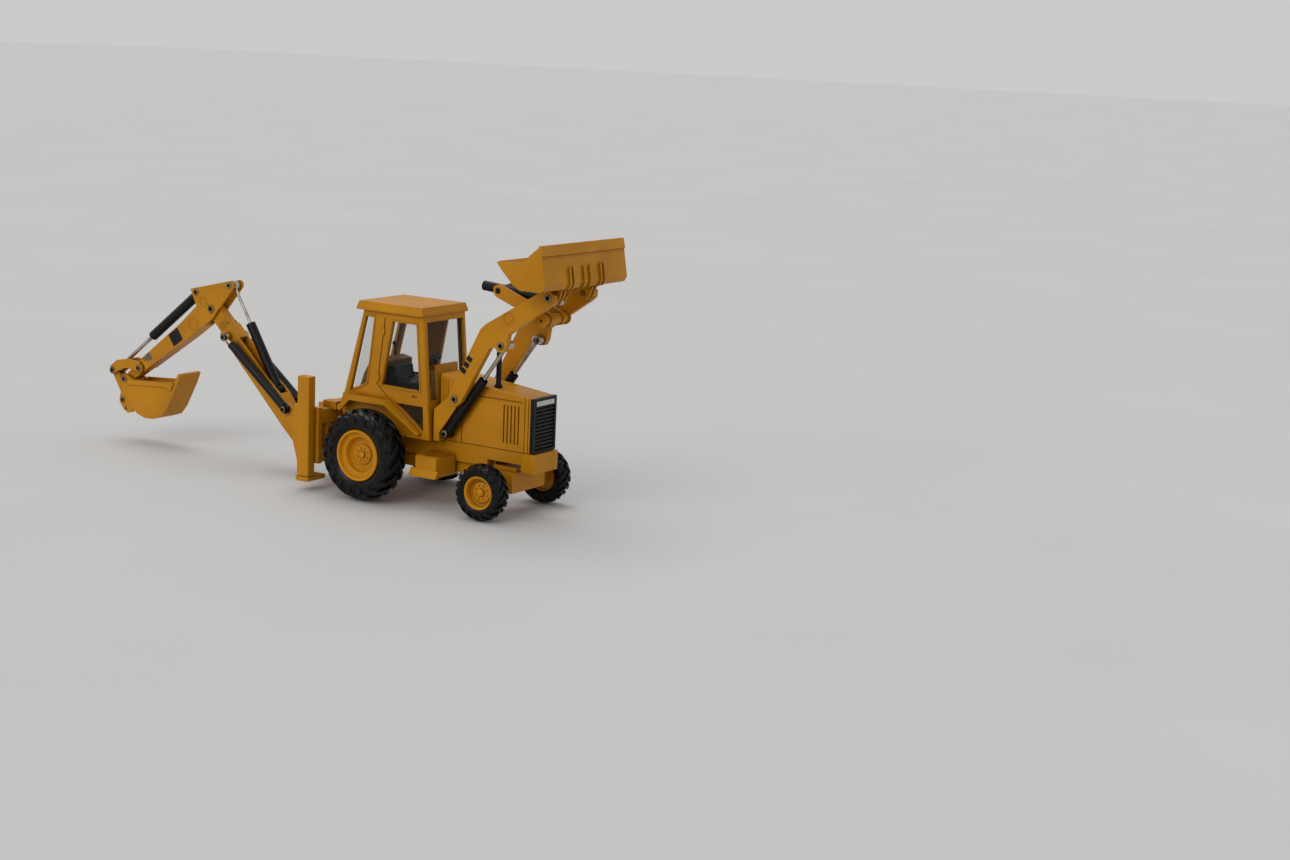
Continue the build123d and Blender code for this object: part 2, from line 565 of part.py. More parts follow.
def make_loader_bucket():
    shell = [(63.2, 82.0), (65.1, 71.0), (64.3, 69.5), (63.0, 69.1), (56.5, 69.1),
             (54.1, 70.5), (50.2, 74.3), (48.4, 76.4)]
    inside = [(62.2, 83.0), (64.1, 71.2), (63.6, 70.2), (62.9, 70.0), (56.8, 70.0),
              (54.7, 71.2), (51.0, 74.8), (48.9, 78.0)]
    side_plate = shell + [(56.9, 76.9), (61.8, 81.0)]
    edge_band = [(62.6, 82.1), (63.4, 82.1), (64.1, 79.2), (63.3, 79.2)]
    pivot_lug = [(57.2, 66.2), (57.6, 64.9), (59.0, 64.2), (60.6, 64.5), (61.7, 66.0),
                 (62.6, 68.6), (65.0, 69.4), (FRONT_REACH, 71.0), (65.0, 75.6), (64.0, 75.6),
                 (64.0, 69.8), (56.2, 69.8), (56.0, 68.6)]
    tilt_lug = [(53.9, 64.4), (54.4, 63.0), (55.6, 62.8), (56.7, 63.6), (57.2, 65.6), (61.5, 68.4),
                (65.0, 69.4), (FRONT_REACH, 71.0), (65.0, 75.6), (64.0, 75.6), (64.0, 69.8),
                (55.4, 69.8), (54.2, 67.6)]
    with BuildPart() as loader_bucket:
        prism(shell, -BUCKET_HALF, BUCKET_HALF)
        prism(inside, -BUCKET_HALF - 1, BUCKET_HALF + 1, Mode.SUBTRACT)
        pair(side_plate, BUCKET_HALF - BUCKET_WALL, BUCKET_HALF)
        prism(edge_band, -BUCKET_HALF, BUCKET_HALF)
        for inner in (6.6, 8.35):
            pair(pivot_lug, inner, inner + 0.75)
        pair(tilt_lug, 1.15, 1.95)
        crossbar(BUCKET_PIVOT, PIN_R + RUN_FIT, -9.2, 9.2, Mode.SUBTRACT)
        crossbar(TILT_ROD_PIN, 0.6, -3, 3, Mode.SUBTRACT)
    save(loader_bucket.part, "loader_bucket")
    with BuildPart() as tilt_rod_pin:
        crossbar(TILT_ROD_PIN, 0.6, -2.2, 2.2)
    save(tilt_rod_pin.part, "tilt_rod_pin")


# ---------------------------------------------------------------- wheels
def wheel_profile(points):
    """Revolve an outline of (radius, y) points about the Y axis at the origin."""
    with BuildSketch(Plane.XY) as profile:
        with BuildLine():
            Polyline(*points, close=True)
        make_face()
    revolve(profile.sketch, axis=Axis.Y)


def make_wheel(name, side, centre, tyre, rim, bore, hub_r, bolts):
    """Tyre and dished rim of one wheel; tyre and rim are (radius, inner y, outer y)."""
    tyre_r, tyre_in, tyre_out = tyre
    rim_r = rim[0]
    mid = (tyre_in + tyre_out) / 2
    width = tyre_out - tyre_in
    with BuildPart() as tyre_part:
        wheel_profile([(rim_r, tyre_in + 0.6), (rim_r + 0.5, tyre_in), (tyre_r * 0.86, tyre_in),
                       (tyre_r * 0.95, tyre_in + 0.12 * width), (tyre_r, mid - 0.2 * width),
                       (tyre_r, mid + 0.2 * width), (tyre_r * 0.95, tyre_out - 0.12 * width),
                       (tyre_r * 0.86, tyre_out), (rim_r + 0.5, tyre_out), (rim_r, tyre_out - 0.6)])
    with BuildPart() as rim_part:
        wheel_profile([(bore, mid - 1.0), (hub_r, mid - 1.0), (hub_r + 0.8, mid - 0.4),
                       (rim_r - 0.9, mid - 0.4), (rim_r - 0.9, tyre_in + 0.6), (rim_r, tyre_in + 0.6),
                       (rim_r, tyre_out - 0.6), (rim_r - 0.5, tyre_out - 0.3),
                       (rim_r - 0.9, tyre_out - 0.7),
                       (hub_r + 1.2, mid + 0.2), (hub_r, mid + 0.5), (hub_r, mid + 1.3), (bore, mid + 1.3)])
        with BuildSketch(Plane.XZ.offset(-(mid + 1.55))) as heads:
            with PolarLocations(hub_r * 0.72, bolts):
                RegularPolygon(0.3 if hub_r > 2 else 0.22, 6)
        extrude(heads.sketch, amount=0.4)
    for label, piece in ((f"{name}_tyre", tyre_part.part), (f"{name}_rim", rim_part.part)):
        turned = piece if side > 0 else piece.rotate(Axis.Z, 180)
        save(Pos(centre[0], 0, centre[1]) * turned, label)


def make_wheels():
    rear = ((REAR_TYRE_R, REAR_TYRE_IN, REAR_TYRE_OUT), (REAR_RIM_R,), AXLE_R + RUN_FIT, 2.85, 8)
    front = ((FRONT_TYRE_R, FRONT_TYRE_IN, FRONT_TYRE_OUT), (FRONT_RIM_R,), STUB_R + RUN_FIT, 1.8, 6)
    for side, word in ((-1, "right"), (1, "left")):
        make_wheel(f"rear_{word}", side, (0, REAR_TYRE_R), *rear)
        make_wheel(f"front_{word}", side, (WHEELBASE, FRONT_TYRE_R), *front)


# ---------------------------------------------------------------- backhoe frame
def make_backhoe_frame():
    end_plate = [(-26.8, 8.4), (-18.2, 8.4), (-18.2, 25.6), (-28.2, 25.6), (-28.2, 13.0), (-27.2, 10.4)]
    with BuildPart() as backhoe_frame:
        pair(end_plate, 16.6, POST_IN)
        block((-22.4, -18.1), (-16.7, 16.7), (20.6, 25.0))
        block((-22.4, -18.1), (-16.7, 16.7), (8.8, 12.8))
        for y in (-13.5, -4.5, 4.5, 13.5):
            block((-22.0, -18.1), (y - 0.9, y + 0.9), (12, 21))
        block_pair((-21.6, -16.6), (9.0, 12.4), (24.6, 27.0))
        for z in RAIL_HEIGHTS:
            crossbar((RAIL_X, z), RAIL_R, -20, 20, Mode.SUBTRACT)
    save(backhoe_frame.part, "backhoe_frame")
    with BuildPart() as slide_rails:
        for z in RAIL_HEIGHTS:
            crossbar((RAIL_X, z), RAIL_R, -RAIL_HALF, RAIL_HALF)
    save(slide_rails.part, "slide_rails")


def make_stabilizers():
    wall = 0.5
    slack = 0.08
    with BuildPart() as housings:
        block_pair((POST_REAR, POST_FRONT), (POST_IN, POST_OUT), (POST_BOTTOM, POST_TOP))
        fillet(housings.edges().filter_by(Axis.Z), 0.35)
        block_pair((POST_REAR + wall, POST_FRONT - wall), (POST_IN + wall, POST_OUT - wall),
                   (POST_BOTTOM - 1, POST_TOP - 0.8), Mode.SUBTRACT)
    save(housings.part, "stabilizer_housings")
    for side, word in ((-1, "right"), (1, "left")):
        inset = wall + slack
        leg_y = sorted((side * (POST_IN + inset), side * (POST_OUT - inset)))
        foot_y = sorted((side * 13.7, side * (POST_OUT + 0.1)))
        with BuildPart() as leg:
            block((POST_REAR + inset, POST_FRONT - inset), leg_y, (4.0, 27.0))
            block((POST_REAR - 0.2, POST_FRONT + 0.2), foot_y, (3.4, 4.4))
            prism([(POST_REAR - 0.2, 3.5), (POST_FRONT + 0.2, 3.5), (POST_FRONT - 0.2, 3.0),
                   (POST_REAR + 0.2, 3.0)], foot_y[0], foot_y[1])
        save(leg.part, f"stabilizer_leg_{word}")


def make_carriage():
    with BuildPart() as carriage:
        block((-28.6, -23.6), (-5.5, 5.5), (8.7, 12.5))
        block((-28.6, -23.6), (-5.5, 5.5), (20.7, 24.5))
        block((-29.4, -27.0), (-5.5, 5.5), (8.7, 24.5))
        # two clevis plates that hold the kingpin
        for low, high in ((7.5, 9.1), (17.4, 19.2)):
            block((KINGPIN_X, -28.0), (-CLEVIS_R, CLEVIS_R), (low, high))
            with Locations((KINGPIN_X, 0, (low + high) / 2)):
                Cylinder(CLEVIS_R, high - low)
        block((-29.4, -26.9), (-4.0, 4.0), (7.5, 9.0))
        for z in RAIL_HEIGHTS:
            crossbar((RAIL_X, z), RAIL_R + RUN_FIT, -6, 6, Mode.SUBTRACT)
        with Locations((KINGPIN_X, 0, 13)):
            Cylinder(KINGPIN_R, 20, mode=Mode.SUBTRACT)
    save(carriage.part, "slide_carriage")
    with BuildPart() as kingpin:
        with Locations((KINGPIN_X, 0, 13.4)):
            Cylinder(KINGPIN_R, 12.4)
        with Locations((KINGPIN_X, 0, 19.6)):
            Cylinder(1.7, 0.8)
    save(kingpin.part, "kingpin")


def make_swing_post():
    cheek = [(-33.4, 16.9), (-33.4, 10.4), (-36.6, 9.4), (-36.8, 7.6), (-38.5, 6.9), (-40.4, 7.6),
             (-41.5, 9.8), (-42.6, 13.5), (-45.6, 19.4), (-45.4, 21.2), (-44.0, 21.7),
             (-42.4, 20.8), (-40.0, 16.9)]
    with BuildPart() as swing_post:
        with Locations((KINGPIN_X, 0, 13.25)):
            Cylinder(2.9, 8.1)
        block((-35.6, -33.4), (-3.5, 3.5), (10.4, 16.9))
        pair(cheek, 2.75, 3.5)
        with Locations((KINGPIN_X, 0, 13)):
            Cylinder(KINGPIN_R + RUN_FIT, 20, mode=Mode.SUBTRACT)
        # round hollow for the boom's foot
        crossbar(BOOM_PIVOT, 3.2, -2.75, 2.75, Mode.SUBTRACT)
        crossbar(BOOM_PIVOT, 0.9, -5, 5, Mode.SUBTRACT)
        crossbar(BOOM_CYL_BASE, 0.6, -5, 5, Mode.SUBTRACT)
    save(swing_post.part, "swing_post")
    with BuildPart() as swing_pins:
        crossbar(BOOM_PIVOT, 0.9, -3.5, 3.5)
        for side in SIDES:
            low, high = sorted((side * 2.75, side * 5.6))
            crossbar(BOOM_CYL_BASE, 0.6, low, high)
            rivet(BOOM_CYL_BASE, side * 5.6, side, radius=0.6)
            rivet(BOOM_PIVOT, side * 3.5, side, radius=0.9)
    save(swing_pins.part, "swing_pins")


# ---------------------------------------------------------------- boom
BOOM_LENGTH = hypot(STICK_PIVOT[0] - BOOM_PIVOT[0], STICK_PIVOT[1] - BOOM_PIVOT[1])


def on_boom(distance, side):
    """Point beside the boom's centre line; positive side is its upper face."""
    return beside(BOOM_PIVOT, STICK_PIVOT, distance, -side)


def make_boom():
    outline = [on_boom(0, -2.5), on_boom(8, -2.9), on_boom(46, -2.5), on_boom(BOOM_LENGTH, -2.4),
               on_boom(BOOM_LENGTH, 2.4), on_boom(46, 2.5), on_boom(24, 3.0), on_boom(17, 3.5),
               on_boom(12, 2.9), on_boom(6, 2.5), on_boom(0, 2.5)]
    channel = [on_boom(17.2, 0.3), on_boom(41.0, 0.3), on_boom(41.0, 5), on_boom(17.2, 5)]
    tip = [on_boom(46.8, -6), on_boom(62, -6), on_boom(62, 6), on_boom(46.8, 6)]
    with BuildPart() as boom:
        prism(outline, -BOOM_HALF, BOOM_HALF)
        crossbar(BOOM_PIVOT, 2.5, -BOOM_HALF, BOOM_HALF)
        crossbar(STICK_PIVOT, 2.4, -BOOM_TIP, BOOM_TIP)
        # channel for the stick cylinder, and a narrow tip between the plates of the stick's head
        prism(channel, -1.75, 1.75, Mode.SUBTRACT)
        pair(tip, BOOM_TIP, BOOM_HALF + 1, Mode.SUBTRACT)
        crossbar(BOOM_PIVOT, 0.9 + RUN_FIT, -4, 4, Mode.SUBTRACT)
        for at, radius in ((STICK_PIVOT, 0.8), (BOOM_CYL_ROD_PIN, 0.6), (STICK_CYL_BASE, 0.6)):
            crossbar(at, radius, -4, 4, Mode.SUBTRACT)
    save(boom.part, "boom")
    with BuildPart() as boom_pins:
        for at, radius, face in ((STICK_PIVOT, 0.8, STICK_HALF + 0.1), (BOOM_CYL_ROD_PIN, 0.6, 5.4),
                                 (STICK_CYL_BASE, 0.6, BOOM_HALF)):
            crossbar(at, radius, -face, face)
            rivet(at, face, 1, radius=radius)
            rivet(at, -face, -1, radius=radius)
    save(boom_pins.part, "boom_pins")


def make_boom_cylinders():
    with BuildPart() as boom_barrels:
        for side in SIDES:
            barrel(BOOM_CYL_BASE, BOOM_CYL_ROD_PIN, side * BOOM_CYL_Y, BOOM_BARREL_R, BOOM_BORE_R,
                   29.3, 0.7, pin=0.6)
            low, high = sorted((side * 2.9, side * 3.6))
            crossbar(BOOM_CYL_BASE, 3.0, low, high, Mode.SUBTRACT)
    save(boom_barrels.part, "boom_barrels")
    with BuildPart() as boom_rods:
        for side in SIDES:
            rod(BOOM_CYL_ROD_PIN, BOOM_CYL_BASE, side * BOOM_CYL_Y, THIN_ROD_R, 24.0, 0.8, pin=0.6)
    save(boom_rods.part, "boom_rods")


# ---------------------------------------------------------------- stick
def on_stick(distance, side):
    """Point beside the stick's centre line; positive side is its upper face."""
    return beside(STICK_PIVOT, HOE_BUCKET_PIVOT, distance, -side)


def make_stick():
    length = hypot(HOE_BUCKET_PIVOT[0] - STICK_PIVOT[0], HOE_BUCKET_PIVOT[1] - STICK_PIVOT[1])
    outline = [(-87.1, 53.8), (-69.4, 58.1), (-68.4, 57.4), (-68.3, 56.0), (-75.9, 46.9),
               on_stick(0.6, -2.8), on_stick(14, -2.8), on_stick(length, -1.5),
               on_stick(length, 1.5), on_stick(length - 7, 2.0), on_stick(14, 3.0), (-84.4, 48.5)]
    tip = [on_stick(37.2, -6), on_stick(60, -6), on_stick(60, 6), on_stick(37.2, 6)]
    head_gap = [(-81.0, 60.0), (-60.0, 60.0), (-60.0, 40.0), (-81.4, 40.0), (-81.0, 48.1)]
    gap_half = 1.7
    with BuildPart() as stick:
        prism(outline, -STICK_HALF, STICK_HALF)
        pair(tip, STICK_TIP, STICK_HALF + 1, Mode.SUBTRACT)
        crossbar(HOE_BUCKET_PIVOT, 1.5, -STICK_TIP, STICK_TIP)
        # the head is two plates, with the boom's tip and the stick rod's eye between them
        prism(head_gap, -gap_half, gap_half, Mode.SUBTRACT)
        # slot for the bucket cylinder's eye and barrel
        crossbar(HOE_CYL_BASE, 2.3, -gap_half, gap_half, Mode.SUBTRACT)
        prism([beside(HOE_CYL_BASE, ROCKER_PIN, 0, 2.0), beside(HOE_CYL_BASE, ROCKER_PIN, 12, 2.0),
               beside(HOE_CYL_BASE, ROCKER_PIN, 12, -2.0), beside(HOE_CYL_BASE, ROCKER_PIN, 0, -2.0)],
              -gap_half, gap_half, Mode.SUBTRACT)
        # spacers beside the bucket pivot
        crossbars(HOE_BUCKET_PIVOT, 1.4, STICK_TIP - 0.05, 2.6)
        crossbar(STICK_PIVOT, 0.8 + RUN_FIT, -4, 4, Mode.SUBTRACT)
        for at in (HOE_CYL_BASE, STICK_CYL_ROD_PIN, ROCKER_PIVOT, HOE_BUCKET_PIVOT):
            crossbar(at, 0.6, -4, 4, Mode.SUBTRACT)
    save(stick.part, "stick")
    with BuildPart() as stick_pins:
        for at, face in ((HOE_CYL_BASE, STICK_HALF), (STICK_CYL_ROD_PIN, STICK_HALF),
                         (ROCKER_PIVOT, ROCKER_OUT + 0.1), (HOE_BUCKET_PIVOT, EAR_OUT + 0.1)):
            crossbar(at, 0.6, -face, face)
            rivet(at, face, 1, radius=0.6)
            rivet(at, -face, -1, radius=0.6)
    save(stick_pins.part, "stick_pins")


def make_stick_cylinder():
    with BuildPart() as stick_barrel:
        barrel(STICK_CYL_BASE, STICK_CYL_ROD_PIN, 0, STICK_BARREL_R, STICK_BORE_R, 23.0, 1.5, pin=0.6)
    save(stick_barrel.part, "stick_barrel")
    with BuildPart() as stick_rod:
        rod(STICK_CYL_ROD_PIN, STICK_CYL_BASE, 0, THIN_ROD_R, 23.4, 0.9, pin=0.6)
    save(stick_rod.part, "stick_rod")


# ---------------------------------------------------------------- backhoe bucket
def make_hoe_bucket_cylinder():
    with BuildPart() as hoe_barrel:
        barrel(HOE_CYL_BASE, ROCKER_PIN, 0, HOE_BARREL_R, HOE_BORE_R, 27.5, 1.5, pin=0.6)
    save(hoe_barrel.part, "hoe_bucket_barrel")
    with BuildPart() as hoe_rod:
        rod(ROCKER_PIN, HOE_CYL_BASE, 0, HOE_ROD_R, 25.0, 0.8, pin=0.6)
    save(hoe_rod.part, "hoe_bucket_rod")


def make_rocker():
    plate = [(-124.2, 22.6), (-123.8, 24.0), (-120.8, 26.4), (-115.6, 27.4), (-110.8, 26.9),
             (-108.8, 25.6), (-108.9, 24.0), (-110.4, 23.2), (-112.6, 23.8), (-116.2, 24.3),
             (-119.8, 23.2), (-121.6, 21.9), (-122.8, 21.4), (-123.8, 21.7)]
    with BuildPart() as rocker:
        pair(plate, ROCKER_IN, ROCKER_OUT)
        crossbar(ROCKER_PIVOT, 0.6 + RUN_FIT, -4, 4, Mode.SUBTRACT)
        crossbar(ROCKER_PIN, 0.6, -4, 4, Mode.SUBTRACT)
    save(rocker.part, "bucket_rocker")
    with BuildPart() as rocker_pin:
        crossbar(ROCKER_PIN, 0.6, -ROCKER_OUT, ROCKER_OUT)
        rivet(ROCKER_PIN, ROCKER_OUT, 1, radius=0.6)
        rivet(ROCKER_PIN, -ROCKER_OUT, -1, radius=0.6)
    save(rocker_pin.part, "rocker_pin")


LINK_PIN_R = 0.5
LINK_EYE_BORE = 1.25        # wide bore: the linkage's open pivot


def make_link():
    with BuildPart() as link:
        top, low = ROCKER_PIN, LINK_PIN
        prism([beside(top, low, 0, 1.2), beside(top, low, 10.9, 1.3),
               beside(top, low, 10.9, -1.3), beside(top, low, 0, -1.2)], -1.6, 1.6)
        crossbar(top, 1.25, -1.6, 1.6)
        crossbar(low, 1.75, -2.5, 2.5)
        crossbar(top, 2.6, -0.95, 0.95, Mode.SUBTRACT)
        crossbar(top, 0.6 + RUN_FIT, -4, 4, Mode.SUBTRACT)
        crossbar(low, LINK_EYE_BORE, -4, 4, Mode.SUBTRACT)
    save(link.part, "bucket_link")


def make_hoe_bucket():
    outer = [(-113.2, 20.9), (-92.0, 22.4), (-90.3, 25.6), (-89.3, 25.3), (-91.0, 21.4),
             (-92.6, 18.4), (-95.2, 13.6), (-97.8, 10.4), (-101.7, 9.1), (-105.4, 8.9),
             (-108.8, 9.9), (-112.6, 12.2), (-113.9, 15.4)]
    inside = [(-112.4, 23.0), (-91.6, 23.2), (-93.4, 18.6), (-95.9, 14.0), (-98.3, 11.2),
              (-101.8, 9.9), (-105.3, 9.7), (-108.4, 10.6), (-112.0, 12.8), (-113.1, 15.5)]
    ear = [(-116.6, 22.1), (-115.0, 21.9), (-112.0, 20.6), (-112.0, 12.0), (-112.6, 9.8),
           (-114.4, 9.3), (-116.4, 10.2), (-118.4, 12.8), (-118.3, 14.6), (-117.2, 17.6),
           (-117.6, 20.4), (-117.4, 21.5)]
    rim_band = [(-112.6, 20.9), (-92.0, 22.3), (-93.6, 19.6), (-96.4, 20.5), (-113.0, 19.3)]
    with BuildPart() as hoe_bucket:
        prism(outer, -HOE_BUCKET_HALF, HOE_BUCKET_HALF)
        prism(inside, -HOE_BUCKET_HALF + 0.8, HOE_BUCKET_HALF - 0.8, Mode.SUBTRACT)
        pair(ear, EAR_IN, EAR_OUT)
        pair(rim_band, HOE_BUCKET_HALF - 0.05, HOE_BUCKET_HALF + 0.3)
        crossbar(HOE_BUCKET_PIVOT, 0.6 + RUN_FIT, -4, 4, Mode.SUBTRACT)
        crossbar(LINK_PIN, LINK_PIN_R, -4, 4, Mode.SUBTRACT)
        crossbar(SPARE_HOLE, 0.6, -4, 4, Mode.SUBTRACT)
    save(hoe_bucket.part, "hoe_bucket")
    with BuildPart() as link_pin:
        crossbar(LINK_PIN, LINK_PIN_R, -EAR_OUT, EAR_OUT)
        rivet(LINK_PIN, EAR_OUT, 1, radius=LINK_PIN_R)
        rivet(LINK_PIN, -EAR_OUT, -1, radius=LINK_PIN_R)
    save(link_pin.part, "link_pin")


for make in (make_chassis, make_chassis_screws, make_rear_axle, make_front_axle, make_hood, make_grille,
             make_exhaust, make_lower_body, make_cab_frame, make_cab_glazing, make_cab_roof,
             make_cab_interior, make_seat, make_steering_wheel, make_levers, make_towers,
             make_tower_pins, make_loader_arms, make_arm_pins, make_lift_cylinders, make_tilt_cylinder,
             make_loader_bucket, make_wheels, make_backhoe_frame, make_stabilizers, make_carriage,
             make_swing_post, make_boom, make_boom_cylinders, make_stick, make_stick_cylinder,
             make_hoe_bucket_cylinder, make_rocker, make_link, make_hoe_bucket, make_steps):
    make()
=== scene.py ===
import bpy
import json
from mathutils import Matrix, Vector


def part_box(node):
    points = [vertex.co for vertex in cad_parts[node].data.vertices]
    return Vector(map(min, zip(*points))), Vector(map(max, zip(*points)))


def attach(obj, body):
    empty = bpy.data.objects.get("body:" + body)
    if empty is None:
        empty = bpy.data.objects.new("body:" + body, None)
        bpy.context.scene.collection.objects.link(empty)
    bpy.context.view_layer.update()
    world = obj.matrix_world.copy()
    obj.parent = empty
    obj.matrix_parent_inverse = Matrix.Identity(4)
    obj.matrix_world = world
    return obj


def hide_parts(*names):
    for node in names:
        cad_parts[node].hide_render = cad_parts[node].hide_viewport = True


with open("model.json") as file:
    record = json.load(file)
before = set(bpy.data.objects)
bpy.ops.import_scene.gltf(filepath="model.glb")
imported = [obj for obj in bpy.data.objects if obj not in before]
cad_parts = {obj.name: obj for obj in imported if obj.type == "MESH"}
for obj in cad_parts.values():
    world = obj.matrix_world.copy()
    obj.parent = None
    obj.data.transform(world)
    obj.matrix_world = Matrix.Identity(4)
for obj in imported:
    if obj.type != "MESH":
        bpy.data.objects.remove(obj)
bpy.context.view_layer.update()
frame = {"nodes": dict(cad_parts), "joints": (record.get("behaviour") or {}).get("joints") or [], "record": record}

# Looks of the toy backhoe loader, a 1:50 die-cast model. Every length below is in
# millimetres in the frame's axes (+X forward, +Y to the machine's left, +Z up) until
# it is handed to Blender, which works in metres.
import json
import math

import bmesh
import bpy
from mathutils import Matrix, Vector

MM = 0.001
SIDES = (-1, 1)
scene = bpy.context.scene
JOINTS = {joint["name"]: joint for joint in frame["joints"]}


def pivot(joint):
    """(x, z) of a joint in millimetres."""
    x, _, z = JOINTS[joint]["pos_m"]
    return x / MM, z / MM


def box_mm(node):
    """Lowest and highest corner of a CAD node in millimetres."""
    low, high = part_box(node)
    return low / MM, high / MM


# ---------------------------------------------------------------- materials
WORN_METAL = (0.13, 0.115, 0.08)
# near-black colour for the painted shade inside rivet bores
BORE_SHADE = (0.006, 0.005, 0.004)


def new_material(name, color, roughness, metallic=0.0):
    """Principled material with its nodes, ready for a texture."""
    material = bpy.data.materials.new(name)
    material.use_nodes = True
    bsdf = material.node_tree.nodes["Principled BSDF"]
    bsdf.inputs["Base Color"].default_value = (*color, 1)
    bsdf.inputs["Roughness"].default_value = roughness
    bsdf.inputs["Metallic"].default_value = metallic
    return material, material.node_tree, bsdf


def noise(tree, scale, detail=3.0, stretch=None):
    """Noise fixed to the piece; scale counts features per metre."""
    place = tree.nodes.new("ShaderNodeTexCoord")
    texture = tree.nodes.new("ShaderNodeTexNoise")
    texture.inputs["Scale"].default_value = scale
    texture.inputs["Detail"].default_value = detail
    if stretch:
        mapping = tree.nodes.new("ShaderNodeMapping")
        mapping.inputs["Scale"].default_value = stretch
        tree.links.new(place.outputs["Object"], mapping.inputs["Vector"])
        tree.links.new(mapping.outputs["Vector"], texture.inputs["Vector"])
    else:
        tree.links.new(place.outputs["Object"], texture.inputs["Vector"])
    return texture.outputs["Fac"]


def spread(tree, value, low, high, start=0.3, end=0.7):
    """Rescale a 0 to 1 value to low..high."""
    node = tree.nodes.new("ShaderNodeMapRange")
    node.inputs["From Min"].default_value = start
    node.inputs["From Max"].default_value = end
    node.inputs["To Min"].default_value = low
    node.inputs["To Max"].default_value = high
    tree.links.new(value, node.inputs["Value"])
    return node.outputs["Result"]


def blend_colors(tree, factor, first, second):
    """Mix two colours, each a fixed colour or another node's output."""
    node = tree.nodes.new("ShaderNodeMix")
    node.data_type = "RGBA"
    tree.links.new(factor, node.inputs["Factor"])
    for socket, value in (("A", first), ("B", second)):
        target = [i for i in node.inputs if i.name == socket and i.type == "RGBA"][0]
        if isinstance(value, bpy.types.NodeSocket):
            tree.links.new(value, target)
        else:
            target.default_value = (*value, 1)
    return [o for o in node.outputs if o.type == "RGBA"][0]


def crevices(tree, distance, start=0.35, end=0.95):
    """1 in tight corners and 0 on open faces."""
    node = tree.nodes.new("ShaderNodeAmbientOcclusion")
    node.samples = 4
    node.inputs["Distance"].default_value = distance
    return spread(tree, node.outputs["AO"], 1.0, 0.0, start, end)


def rounded_bump(tree, bsdf, height, strength, distance, edge=0.0):
    """Fine relief, over edges that are rounded by the radius edge."""
    bump = tree.nodes.new("ShaderNodeBump")
    bump.inputs["Strength"].default_value = strength
    bump.inputs["Distance"].default_value = distance
    tree.links.new(height, bump.inputs["Height"])
    if edge:
        bevel = tree.nodes.new("ShaderNodeBevel")
        bevel.samples = 4
        bevel.inputs["Radius"].default_value = edge
        tree.links.new(bevel.outputs["Normal"], bump.inputs["Normal"])
    tree.links.new(bump.outputs["Normal"], bsdf.inputs["Normal"])


def wear_spot(tree, place, radius):
    """1 within a ragged spot around a place (x, y, z) in millimetres, 0 outside."""
    position = tree.nodes.new("ShaderNodeTexCoord")
    gap = tree.nodes.new("ShaderNodeVectorMath")
    gap.operation = "DISTANCE"
    gap.inputs[1].default_value = tuple(c * MM for c in place)
    tree.links.new(position.outputs["Object"], gap.inputs[0])
    ragged = tree.nodes.new("ShaderNodeMath")
    ragged.operation = "MULTIPLY_ADD"
    ragged.inputs[1].default_value = 2.6 * radius * MM
    tree.links.new(noise(tree, 700, 5), ragged.inputs[0])
    tree.links.new(gap.outputs["Value"], ragged.inputs[2])
    return spread(tree, ragged.outputs["Value"], 1.0, 0.0, 2.0 * radius * MM, 2.25 * radius * MM)


def paint(name, color, shade, roughness=(0.38, 0.50), worn_at=()):
    """Sprayed enamel over die-casting: slight mottle, orange peel, painted shade in corners.

    worn_at lists (place, radius) spots where the paint has rubbed off to dull metal.
    """
    material, tree, bsdf = new_material(name, color, roughness[0])
    dim = tuple(c * 0.86 for c in color)
    lit = tuple(min(1, c * 1.10) for c in color)
    mottle = blend_colors(tree, spread(tree, noise(tree, 70), 0, 1), dim, lit)
    speckle = spread(tree, noise(tree, 2600, 2), 0.0, 0.22, 0.62, 0.78)
    grained = blend_colors(tree, speckle, mottle, shade)
    # painted shade: the shade colour is laid into the corners that ambient occlusion finds
    corners = blend_colors(tree, crevices(tree, 1.6 * MM), grained, shade)
    for place, radius in worn_at:
        corners = blend_colors(tree, wear_spot(tree, place, radius), corners, WORN_METAL)
    tree.links.new(corners, bsdf.inputs["Base Color"])
    patches = spread(tree, noise(tree, 260, 4), roughness[0], roughness[1])
    tree.links.new(patches, bsdf.inputs["Roughness"])
    bsdf.inputs["Specular IOR Level"].default_value = 0.16
    bsdf.inputs["Coat Weight"].default_value = 0.06
    bsdf.inputs["Coat Roughness"].default_value = 0.22
    rounded_bump(tree, bsdf, noise(tree, 1100, 2), 0.22, 0.05 * MM, 0.16 * MM)
    return material


def moulded(name, color, worn, roughness, grain, edge=0.12):
    """Moulded plastic or rubber: fine grain and lighter, drier scuffs."""
    material, tree, bsdf = new_material(name, color, roughness[0])
    scuffs = spread(tree, noise(tree, 420, 6), 0.0, 0.75, 0.52, 0.74)
    tree.links.new(blend_colors(tree, scuffs, color, worn), bsdf.inputs["Base Color"])
    patches = spread(tree, noise(tree, 180, 5), roughness[0], roughness[1])
    tree.links.new(patches, bsdf.inputs["Roughness"])
    bsdf.inputs["Specular IOR Level"].default_value = 0.22
    rounded_bump(tree, bsdf, noise(tree, grain, 3), 0.3, 0.05 * MM, edge * MM)
    return material


